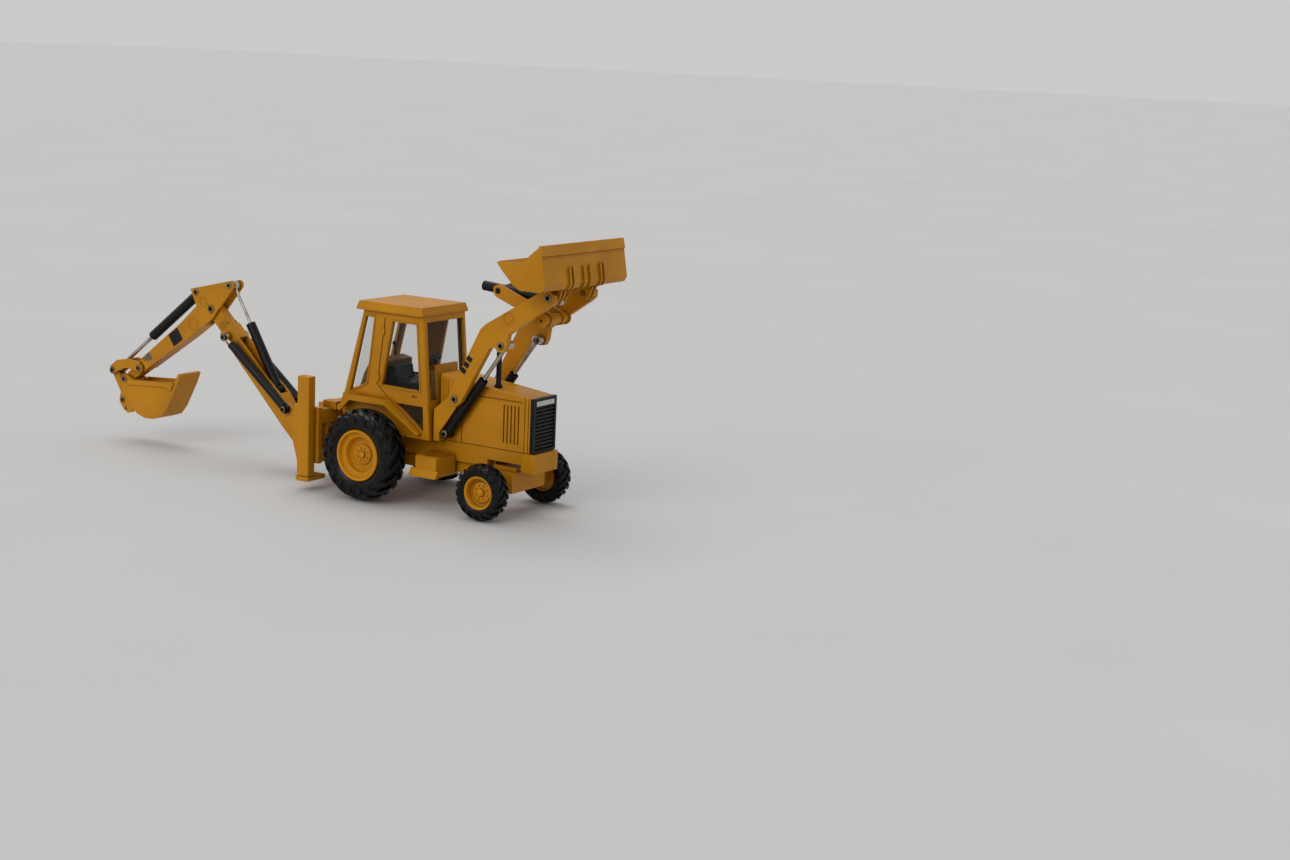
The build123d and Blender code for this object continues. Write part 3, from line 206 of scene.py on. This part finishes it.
def bare_metal(name, color, stain, roughness, shaded_bore_size=0.0):
    """Turned metal: faint stains, and black painted shade inside bores narrower than the given size."""
    material, tree, bsdf = new_material(name, color, roughness[0], 1.0)
    stains_and_bore_shade = blend_colors(tree, spread(tree, noise(tree, 330, 3), 0, 1, 0.40, 0.70), color, stain)
    if shaded_bore_size:
        # painted shade: near-black laid into the bores that ambient occlusion finds
        shaded_bores = crevices(tree, shaded_bore_size * MM, 0.25, 0.7)
        stains_and_bore_shade = blend_colors(tree, shaded_bores, stains_and_bore_shade, BORE_SHADE)
    tree.links.new(stains_and_bore_shade, bsdf.inputs["Base Color"])
    patches = spread(tree, noise(tree, 700, 3), roughness[0], roughness[1])
    tree.links.new(patches, bsdf.inputs["Roughness"])
    rounded_bump(tree, bsdf, noise(tree, 1200, 2), 0.05, 0.02 * MM)
    return material


def glazing(name, tint):
    """Clear styrene: nearly invisible face on, greener and brighter at a glance."""
    material, tree, bsdf = new_material(name, tint, 0.06)
    facing = tree.nodes.new("ShaderNodeLayerWeight")
    facing.inputs["Blend"].default_value = 0.12
    solid = spread(tree, facing.outputs["Facing"], 0.04, 0.34, 0.0, 1.0)
    tree.links.new(solid, bsdf.inputs["Alpha"])
    darker = tuple(c * 0.8 for c in tint)
    smears = blend_colors(tree, spread(tree, noise(tree, 220, 5), 0, 1), tint, darker)
    tree.links.new(smears, bsdf.inputs["Base Color"])
    tree.links.new(spread(tree, noise(tree, 150, 4), 0.04, 0.16), bsdf.inputs["Roughness"])
    return material


OCHRE = (0.50, 0.208, 0.0040)
OCHRE_SHADE = (0.20, 0.070, 0.0012)
YELLOW = paint("ochre_enamel", OCHRE, OCHRE_SHADE)
# the paint has rubbed off near the stick's lower end, more on the right face than on the left
STICK_WEAR = [((-77.3, -2.4, 29.2), 2.0), ((-77.3, 2.4, 29.2), 1.4)]
STICK_PAINT = paint("stick_enamel", OCHRE, OCHRE_SHADE, worn_at=STICK_WEAR)
RIM = paint("rim_enamel", (0.58, 0.245, 0.004), (0.25, 0.090, 0.0015), (0.30, 0.42))
RUBBER = moulded("tyre_rubber", (0.0028, 0.0028, 0.0029), (0.0065, 0.0063, 0.0060),
                 (0.15, 0.34), 1400, 0.2)
BLACK = moulded("black_plastic", (0.0032, 0.0032, 0.0033), (0.0085, 0.0082, 0.0080),
                (0.30, 0.46), 1800)
# tan plastic, given a darker colour: painted shade for the parts inside the cab
TAN_SHADED = moulded("tan_plastic", (0.20, 0.105, 0.03), (0.13, 0.065, 0.02), (0.45, 0.65), 1500)
STEEL = bare_metal("rod_steel", (0.50, 0.46, 0.42), (0.34, 0.28, 0.23), (0.14, 0.26))
RIVET = bare_metal("rivet_nickel", (0.30, 0.23, 0.15), (0.12, 0.08, 0.045), (0.24, 0.42), 0.9)
CLEAR = glazing("clear_styrene", (0.080, 0.115, 0.110))
TEAL = moulded("pane_edge", (0.014, 0.050, 0.046), (0.04, 0.09, 0.085), (0.15, 0.3), 900)
DECAL = moulded("black_decal", (0.006, 0.006, 0.007), (0.012, 0.012, 0.012), (0.22, 0.34), 1200, 0.03)
PALE = moulded("pale_decal", (0.55, 0.54, 0.51), (0.40, 0.39, 0.37), (0.3, 0.45), 1200, 0.03)

SLOT_LOOKS = {"yellow_paint": YELLOW, "rim_paint": RIM, "tyre_rubber": RUBBER,
              "black_plastic": BLACK, "tan_plastic": TAN_SHADED, "clear_plastic": CLEAR,
              "bright_steel": STEEL, "rivet_metal": RIVET}
for entry in frame["record"]["subparts"]:
    cad = frame["nodes"][entry["node"]]
    cad.data.materials.clear()
    look = STICK_PAINT if entry["node"] == "stick" else SLOT_LOOKS[entry["material_slot"]]
    cad.data.materials.append(look)


# ---------------------------------------------------------------- mesh helpers
def piece(name, mesh_code, material, body, replaces=(), bevel=0.0, smooth_angle=35):
    """Turn mesh code in millimetres into a piece that rides on a body."""
    mesh_code.normal_update()
    bmesh.ops.recalc_face_normals(mesh_code, faces=mesh_code.faces)
    bmesh.ops.scale(mesh_code, vec=(MM, MM, MM), verts=mesh_code.verts)
    mesh = bpy.data.meshes.new(name)
    mesh_code.to_mesh(mesh)
    mesh_code.free()
    mesh.materials.append(material)
    mesh.shade_smooth()
    mesh.set_sharp_from_angle(angle=math.radians(smooth_angle))
    made = bpy.data.objects.new(name, mesh)
    scene.collection.objects.link(made)
    if bevel:
        soften(made, bevel)
    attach(made, body)
    if replaces:
        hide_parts(*replaces)
    return made


def soften(target, width, angle=30):
    """Round the sharp edges of a piece."""
    modifier = target.modifiers.new("soft_edges", "BEVEL")
    modifier.width = width * MM
    modifier.segments = 2
    modifier.limit_method = "ANGLE"
    modifier.angle_limit = math.radians(angle)
    modifier.harden_normals = True


def lathe(mesh_code, profile, centre, out, steps=72):
    """Closed profile of (radius, distance along out) points turned about a Y axis."""
    rings = []
    for step in range(steps):
        turn = 2 * math.pi * step / steps
        ring = []
        for radius, along in profile:
            ring.append(mesh_code.verts.new((centre[0] + radius * math.cos(turn),
                                             centre[1] + out * along,
                                             centre[2] + radius * math.sin(turn))))
        rings.append(ring)
    count = len(profile)
    for step in range(steps):
        near, far = rings[step], rings[(step + 1) % steps]
        for k in range(count):
            mesh_code.faces.new((near[k], near[(k + 1) % count], far[(k + 1) % count], far[k]))
    bmesh.ops.remove_doubles(mesh_code, verts=mesh_code.verts, dist=1e-5)


def prism(mesh_code, outline, y_low, y_high):
    """Plate with an (x, z) outline between two y planes."""
    front = [mesh_code.verts.new((x, y_low, z)) for x, z in outline]
    back = [mesh_code.verts.new((x, y_high, z)) for x, z in outline]
    mesh_code.faces.new(front)
    mesh_code.faces.new(list(reversed(back)))
    for k in range(len(outline)):
        after = (k + 1) % len(outline)
        mesh_code.faces.new((front[k], back[k], back[after], front[after]))


def stud(mesh_code, x, y, z, out, radius, height, sides=6):
    """Small chamfered nut standing out of a Y face."""
    rings = []
    for grow, along in ((1.0, -0.2), (1.0, 0.65 * height), (0.72, height)):
        rings.append([mesh_code.verts.new((x + grow * radius * math.cos(2 * math.pi * k / sides),
                                           y + out * along,
                                           z + grow * radius * math.sin(2 * math.pi * k / sides)))
                      for k in range(sides)])
    for low, high in zip(rings, rings[1:]):
        for k in range(sides):
            after = (k + 1) % sides
            mesh_code.faces.new((low[k], low[after], high[after], high[k]))
    mesh_code.faces.new(rings[-1])
    mesh_code.faces.new(list(reversed(rings[0])))


# ---------------------------------------------------------------- wheels
def carcass_point(shape, share):
    """(radius, y) on the tyre's outer skin; share runs from the crown to the bead."""
    scaled = share * (len(shape) - 1)
    first = min(int(scaled), len(shape) - 2)
    part = scaled - first
    return tuple(a + (b - a) * part for a, b in zip(shape[first], shape[first + 1]))


def make_lug(mesh_code, shape, centre, out, start, sweep, half_width, reach, half):
    """One slanted tread bar from beside the crown over the shoulder."""
    stations = 9
    strips = []
    for step in range(stations):
        share = 0.02 + 0.62 * step / (stations - 1)
        radius, y = carcass_point(shape, share)
        ahead_r, ahead_y = carcass_point(shape, share + 0.01)
        slope = Vector((ahead_y - y, -(ahead_r - radius)))
        slope.normalize()
        turn = start - sweep * min(share / 0.42, 1.0)
        height = max(min(reach - radius, reach * 0.085), 0.45) * (1 - 0.55 * max(share - 0.42, 0) / 0.22)
        strip = []
        for side, rise, wide in ((-1, -0.3, 1.3), (-1, height, 1.0), (1, height, 1.0), (1, -0.3, 1.3)):
            r = radius + slope.x * rise
            r = min(r, reach)
            bend = turn + side * wide * half_width / radius
            along = min(y + slope.y * rise, half + 0.3)
            strip.append(mesh_code.verts.new((centre[0] + r * math.cos(bend),
                                              centre[1] + out * along,
                                              centre[2] + r * math.sin(bend))))
        strips.append(strip)
    for low, high in zip(strips, strips[1:]):
        for k in range(4):
            after = (k + 1) % 4
            mesh_code.faces.new((low[k], low[after], high[after], high[k]))
    mesh_code.faces.new(strips[0])
    mesh_code.faces.new(list(reversed(strips[-1])))


def make_tyre(node, body, lugs, sweep, half_width, depth):
    """Treaded tyre in the place of a plain CAD tyre."""
    low, high = box_mm(node)
    centre = (low + high) / 2
    reach = (high.z - low.z) / 2
    half = (high.y - low.y) / 2
    seat = reach * 0.57
    skin = reach - depth
    shape = [(skin, 0.0), (skin - 0.02 * reach, half * 0.45), (skin - 0.05 * reach, half * 0.74),
             (skin - 0.11 * reach, half * 0.93), (skin - 0.19 * reach, half * 0.985),
             (skin - 0.25 * reach, half * 0.97), (seat + 0.06 * reach, half * 0.90),
             (seat + 0.02 * reach, half * 0.84)]
    # raised bead ring and a moulded line on the wall
    wall = shape[:-2] + [(seat + 0.115 * reach, half * 0.935), (seat + 0.105 * reach, half * 0.975),
                         (seat + 0.075 * reach, half * 0.975), (seat + 0.065 * reach, half * 0.91),
                         (seat + 0.02 * reach, half * 0.86), (seat - 0.02 * reach, half * 0.74)]
    profile = [(r, y) for r, y in reversed(wall)] + [(r, -y) for r, y in wall[1:]]
    mesh_code = bmesh.new()
    lathe(mesh_code, profile, centre, 1, 96)
    for out in SIDES:
        for lug in range(lugs):
            start = 2 * math.pi * (lug + (0.5 if out > 0 else 0)) / lugs
            make_lug(mesh_code, shape, centre, out, start, sweep, half_width, reach, half)
    piece(f"{node}_treaded", mesh_code, RUBBER, body, (node,), bevel=0.13)


def make_rim(node, body, profile, ring_radius, nut_radius, nut_count, face):
    """Dished rim with its wheel nuts, in the place of a plain CAD rim."""
    low, high = box_mm(node)
    centre = (low + high) / 2
    out = 1 if centre.y > 0 else -1
    outer = high.y if out > 0 else -low.y
    base = Vector((centre.x, 0, centre.z))
    points = [(radius, outer - depth) for radius, depth in profile]
    mesh_code = bmesh.new()
    lathe(mesh_code, points, base, out, 96)
    for nut in range(nut_count):
        turn = 2 * math.pi * (nut + 0.5) / nut_count
        stud(mesh_code, base.x + ring_radius * math.cos(turn), out * (outer - face),
             base.z + ring_radius * math.sin(turn), out, nut_radius, 0.32)
    piece(f"{node}_dished", mesh_code, RIM, body, (node,), smooth_angle=28)


# profiles are (radius, depth behind the outer lip), walked from the hub to the lip and back
REAR_RIM = [(0.0, 2.35), (0.75, 2.35), (0.95, 2.55), (1.0, 2.95), (2.75, 2.95), (2.95, 3.1), (3.0, 3.55),
            (4.6, 3.6), (5.0, 3.35), (5.25, 2.9), (5.35, 1.75), (5.55, 1.5), (6.5, 1.35), (6.75, 1.15),
            (6.9, 0.35), (7.1, 0.08), (7.35, 0.0), (7.6, 0.08), (7.8, 0.35), (7.8, 6.6), (6.9, 6.6),
            (6.9, 4.6), (5.4, 4.4), (3.2, 4.5), (3.2, 5.0), (1.05, 5.0), (1.05, 2.66), (0.0, 2.66)]
FRONT_RIM = [(0.0, 0.75), (0.6, 0.82), (1.0, 1.1), (1.2, 1.5), (1.25, 1.85), (2.9, 1.9), (3.1, 2.0),
             (3.2, 2.35), (3.7, 2.4), (4.05, 2.2), (4.2, 1.2), (4.3, 0.35), (4.5, 0.08), (4.7, 0.0),
             (4.92, 0.08), (5.1, 0.35), (5.1, 3.9), (4.3, 3.9), (4.2, 3.0), (2.2, 2.9), (2.2, 3.3),
             (0.86, 3.3), (0.86, 1.42), (0.0, 1.42)]
for word in ("right", "left"):
    make_tyre(f"rear_{word}_tyre", f"rear_{word}_wheel", 18, 0.42, 0.86, 1.35)
    make_tyre(f"front_{word}_tyre", f"front_{word}_wheel", 18, 0.32, 0.55, 0.72)
    make_rim(f"rear_{word}_rim", f"rear_{word}_wheel", REAR_RIM, 2.0, 0.34, 8, 2.95)
    make_rim(f"front_{word}_rim", f"front_{word}_wheel", FRONT_RIM, 2.1, 0.26, 8, 1.87)


# ---------------------------------------------------------------- rivets
def make_rivets(node, body, places):
    """Tubular rivets: plain shank, rolled head and a dark open bore at each end."""
    mesh_code = bmesh.new()
    for (x, z), inner, outer, radius, hollow in places:
        section = rivet_profile(inner, outer, radius, hollow)
        # a rivet that starts at 0 goes right through and is turned once for both its ends
        for out in SIDES if inner else (1,):
            lathe(mesh_code, section, Vector((x, 0, z)), out, 32)
    piece(node + "_rolled", mesh_code, RIVET, body, (node,), smooth_angle=40)


def rivet_profile(inner, outer, radius, hollow):
    """Half section of one rivet, with a rolled head at its outer end, or at both if inner is 0."""
    roll = radius + 0.45
    head = [(radius, outer), (roll, outer), (roll + 0.02, outer + 0.12), (roll - 0.12, outer + 0.27),
            (radius - 0.05, outer + 0.30), (hollow + 0.06, outer + 0.22), (hollow, outer + 0.05)]
    if inner == 0:
        tail = [(reach, -along) for reach, along in reversed(head)]
        floor = outer - 1.2
        return head + [(hollow, floor), (0.0, floor), (0.0, -floor), (hollow, -floor)] + tail
    return head + [(hollow, outer - 1.0), (0.0, outer - 1.0), (0.0, inner), (radius, inner)]


def faces_of(node):
    """Largest half width of a CAD node, less the height of its rivet heads."""
    return box_mm(node)[1].y - 0.3


def make_all_rivets():
    """Every rivet, as (place, start, end, shank radius, bore radius) for each node."""
    tower = faces_of("tower_pins")
    make_rivets("tower_pins", "machine", [(pivot("loader_arm_hinge"), 6.0, tower, 0.7, 0.56),
                                          (pivot("lift_barrel_hinge"), 3.6, 9.3, 0.7, 0.56)])
    make_rivets("arm_pins", "arms", [(pivot("lift_rod_hinge"), 5.9, ARM_FACE, 0.7, 0.56),
                                     (pivot("loader_bucket_hinge"), 6.3, ARM_FACE, 0.7, 0.56)])
    make_rivets("swing_pins", "swing", [(pivot("boom_hinge"), 0, 3.5, 0.9, 0.62),
                                        (pivot("boom_barrel_hinge"), 2.75, 5.6, 0.6, 0.5)])
    make_rivets("boom_pins", "hoe_boom", [(pivot("stick_hinge"), 0, 2.5, 0.8, 0.6),
                                          (pivot("boom_rod_hinge"), 0, 5.4, 0.6, 0.5),
                                          (pivot("stick_barrel_hinge"), 0, 2.6, 0.6, 0.5)])
    make_rivets("stick_pins", "hoe_stick", [(pivot("hoe_barrel_hinge"), 0, 2.4, 0.6, 0.5),
                                            (pivot("stick_rod_hinge"), 0, 2.4, 0.6, 0.5),
                                            (pivot("rocker_hinge"), 0, 2.6, 0.6, 0.5),
                                            (pivot("hoe_bucket_hinge"), 0, 3.6, 0.6, 0.5)])
    make_rivets("rocker_pin", "rocker", [(pivot("link_hinge"), 0, 2.5, 0.6, 0.5)])
    low, high = box_mm("link_pin")
    middle = (low + high) / 2
    make_rivets("link_pin", "rear_bucket", [((middle.x, middle.z), 0, 3.5, 0.5, 0.34)])


ARM_FACE = faces_of("arm_pins")
make_all_rivets()


# ---------------------------------------------------------------- marks, decals and trim
def make_rings(name, body, marks):
    """Raised rings left by the casting's ejector pins, on both sides of a part."""
    mesh_code = bmesh.new()
    for x, z, radius, face in marks:
        section = [(radius - 0.14, face - 0.1), (radius - 0.1, face + 0.07), (radius, face + 0.12),
                   (radius + 0.1, face + 0.07), (radius + 0.14, face - 0.1)]
        for out in SIDES:
            lathe(mesh_code, section, Vector((x, 0, z)), out, 32)
    piece(name, mesh_code, YELLOW, body)


def moved_out(outline, distance):
    """(x, z) outline with every side moved outwards; its sides run anticlockwise."""
    points = []
    for k, here in enumerate(outline):
        before = Vector(here) - Vector(outline[k - 1])
        after = Vector(outline[(k + 1) % len(outline)]) - Vector(here)
        first, second = before.normalized(), after.normalized()
        bisector = Vector((first.y + second.y, -first.x - second.x)).normalized()
        outwards = Vector((first.y, -first.x))
        points.append(Vector(here) + bisector * distance / bisector.dot(outwards))
    return [(point.x, point.y) for point in points]


def window_trim(mesh_code, outline, face, out):
    """Raised frame around a window in one side of the cab."""
    rims = [moved_out(outline, 0.05), moved_out(outline, 0.22), moved_out(outline, 0.55),
            moved_out(outline, 0.72)]
    heights = (face - 0.15, face + 0.22, face + 0.22, face - 0.15)
    loops = [[mesh_code.verts.new((x, out * height, z)) for x, z in rim]
             for rim, height in zip(rims, heights)]
    for near, far in zip(loops, loops[1:] + loops[:1]):
        for k in range(len(near)):
            after = (k + 1) % len(near)
            mesh_code.faces.new((near[k], near[after], far[after], far[k]))


def label_outline(x, z, length, width, turn, corner=0.22):
    """Rectangle with rounded corners, its length turned up from +X by an angle in radians."""
    ahead = Vector((math.cos(turn), math.sin(turn)))
    aside = Vector((-math.sin(turn), math.cos(turn)))
    points = []
    for quarter, (a, b) in enumerate(((1, 1), (-1, 1), (-1, -1), (1, -1))):
        middle = Vector((x, z)) + ahead * a * (length / 2 - corner) + aside * b * (width / 2 - corner)
        for step in range(4):
            bend = math.pi / 2 * (quarter + step / 3)
            points.append(tuple(middle + (ahead * math.cos(bend) + aside * math.sin(bend)) * corner))
    return points


def make_decals():
    """Plain decals where the model carries its printed marks, with nothing written on them."""
    stick_run = Vector(pivot("stick_hinge")) - Vector(pivot("hoe_bucket_hinge"))
    turn = math.atan2(stick_run.y, stick_run.x)
    mesh_code = bmesh.new()
    for out in SIDES:
        square = label_outline(-64.4, 37.2, 4.9, 4.4, turn)
        prism(mesh_code, square, out * (STICK_FACE - 0.04), out * (STICK_FACE + 0.05))
    piece("stick_blank_decal", mesh_code, DECAL, "hoe_stick")
    mesh_code = bmesh.new()
    for out in SIDES:
        for step in (-2.1, 0.0, 2.1):
            x, z = 60.75 + step * math.cos(ARM_TURN), 44.1 + step * math.sin(ARM_TURN)
            bar = label_outline(x, z, 1.5, 1.9, ARM_TURN)
            prism(mesh_code, bar, out * (ARM_FACE - 0.04), out * (ARM_FACE + 0.05))
    piece("arm_blank_bars", mesh_code, DECAL, "arms")
    high = box_mm("grille")[1]
    mesh_code = bmesh.new()
    prism(mesh_code, label_outline(0, high.z - 1.6, 8.8, 1.4, 0), high.x - 0.04, high.x + 0.05)
    for vert in mesh_code.verts:
        vert.co = (vert.co.y, vert.co.x, vert.co.z)
    piece("grille_blank_bar", mesh_code, PALE, "machine")


def make_hood_ribs():
    """Three thin upright ribs down each side of the hood, next to the cab."""
    half = box_mm("hood")[1].y
    mesh_code = bmesh.new()
    for out in SIDES:
        for x in (48.2, 49.1, 50.0):
            section = [(x, out * (half - 0.1)), (x + 0.08, out * (half + 0.16)),
                       (x + 0.3, out * (half + 0.16)), (x + 0.38, out * (half - 0.1))]
            low = [mesh_code.verts.new((a, b, 28.5)) for a, b in section]
            high = [mesh_code.verts.new((a, b, 38.0)) for a, b in section]
            mesh_code.faces.new(low)
            mesh_code.faces.new(list(reversed(high)))
            for k in range(4):
                after = (k + 1) % 4
                mesh_code.faces.new((low[k], high[k], high[after], low[after]))
    piece("hood_ribs", mesh_code, YELLOW, "machine")


def make_trim():
    """Raised frames around the cab's side windows and the tinted edges of its panes."""
    face = box_mm("cab_glazing")[1].y + 1.06
    mesh_code = bmesh.new()
    for out, windows in ((-1, RIGHT_WINDOWS), (1, LEFT_WINDOWS)):
        for outline in windows:
            window_trim(mesh_code, outline, face, out)
    piece("window_trim", mesh_code, YELLOW, "machine")
    mesh_code = bmesh.new()
    for out in SIDES:
        prism(mesh_code, WINDSCREEN_EDGE, out * 8.45, out * 8.75)
    piece("pane_edges", mesh_code, TEAL, "machine")


ARM_TURN = math.radians(60)
RIGHT_WINDOWS = [[(16.65, 31.0), (22.85, 34.2), (25.35, 54.2), (22.35, 54.2)],
                 [(28.85, 34.2), (43.05, 34.0), (41.35, 53.6), (32.65, 53.6)]]
LEFT_WINDOWS = [[(18.35, 38.0), (19.75, 38.0), (21.35, 34.8), (27.85, 34.2), (30.35, 54.2),
                 (22.35, 54.2)],
                [(33.85, 34.2), (43.05, 34.0), (41.35, 53.6), (37.65, 53.6)]]
WINDSCREEN_EDGE = [(43.9, 41.6), (44.35, 41.6), (43.2, 54.2), (42.75, 54.2)]
STICK_FACE, BOOM_FACE = 2.4, 2.6
make_rings("stick_cast_rings", "hoe_stick", [(-52.05, 50.1, 1.5, STICK_FACE),
                                             (-56.45, 42.3, 2.0, STICK_FACE)])
make_rings("boom_cast_rings", "hoe_boom", [(-43.25, 43.4, 1.4, BOOM_FACE)])
make_rings("arm_cast_rings", "arms", [(75.25, 59.3, 1.7, ARM_FACE)])
make_decals()
make_hood_ribs()
make_trim()


# ---------------------------------------------------------------- camera, floor and light
def make_camera():
    """A long lens from the right front, a little above the model."""
    place = Vector((406.02, -474.83, 137.36))
    azimuth, elevation, roll = math.radians(31.433), math.radians(10.837), 0.0447
    ahead = Vector((-math.sin(azimuth) * math.cos(elevation), math.cos(azimuth) * math.cos(elevation),
                    -math.sin(elevation)))
    level = Vector((math.cos(azimuth), math.sin(azimuth), 0))
    upright = level.cross(ahead)
    right = (level + roll * upright).normalized()
    up = right.cross(ahead)
    data = bpy.data.cameras.new("camera")
    data.lens = 55.84
    data.sensor_width = 36
    data.clip_start = 0.01
    data.clip_end = 20
    camera = bpy.data.objects.new("camera", data)
    turn = Matrix((right, up, -ahead)).transposed().to_4x4()
    camera.matrix_world = Matrix.Translation(place * MM) @ turn
    scene.collection.objects.link(camera)
    scene.camera = camera


def make_floor():
    """Plain pale table, wide enough to reach the horizon behind the model."""
    mesh_code = bmesh.new()
    bmesh.ops.create_grid(mesh_code, x_segments=2, y_segments=2, size=9.0)
    mesh = bpy.data.meshes.new("floor")
    mesh_code.to_mesh(mesh)
    mesh_code.free()
    floor = bpy.data.objects.new("floor", mesh)
    material, tree, bsdf = new_material("table_paper", (0.56, 0.56, 0.555), 0.7)
    cloudy = spread(tree, noise(tree, 9, 4), 0, 1)
    paper = blend_colors(tree, cloudy, (0.550, 0.548, 0.545), (0.57, 0.568, 0.566))
    tree.links.new(paper, bsdf.inputs["Base Color"])
    bsdf.inputs["Specular IOR Level"].default_value = 0.2
    mesh.materials.append(material)
    scene.collection.objects.link(floor)


def soft_sun(name, azimuth, elevation, strength, spread_angle):
    """Wide soft light from a compass direction; azimuth 0 is behind the model, at +Y."""
    data = bpy.data.lights.new(name, "SUN")
    data.energy = strength
    data.angle = math.radians(spread_angle)
    light = bpy.data.objects.new(name, data)
    turn, rise = math.radians(azimuth), math.radians(elevation)
    toward = Vector((-math.sin(turn) * math.cos(rise), math.cos(turn) * math.cos(rise),
                     math.sin(rise)))
    light.rotation_mode = "QUATERNION"
    light.rotation_quaternion = toward.to_track_quat("Z", "Y")
    scene.collection.objects.link(light)


def make_lights():
    world = bpy.data.worlds.new("studio")
    world.use_nodes = True
    background = world.node_tree.nodes["Background"]
    background.inputs["Color"].default_value = (1.0, 0.995, 0.985, 1)
    background.inputs["Strength"].default_value = 0.60
    scene.world = world
    soft_sun("overhead", 50, 70, 0.80, 40)
    soft_sun("front_right", 176, 34, 0.80, 40)
    scene.view_settings.view_transform = "Standard"


make_camera()
make_floor()
make_lights()
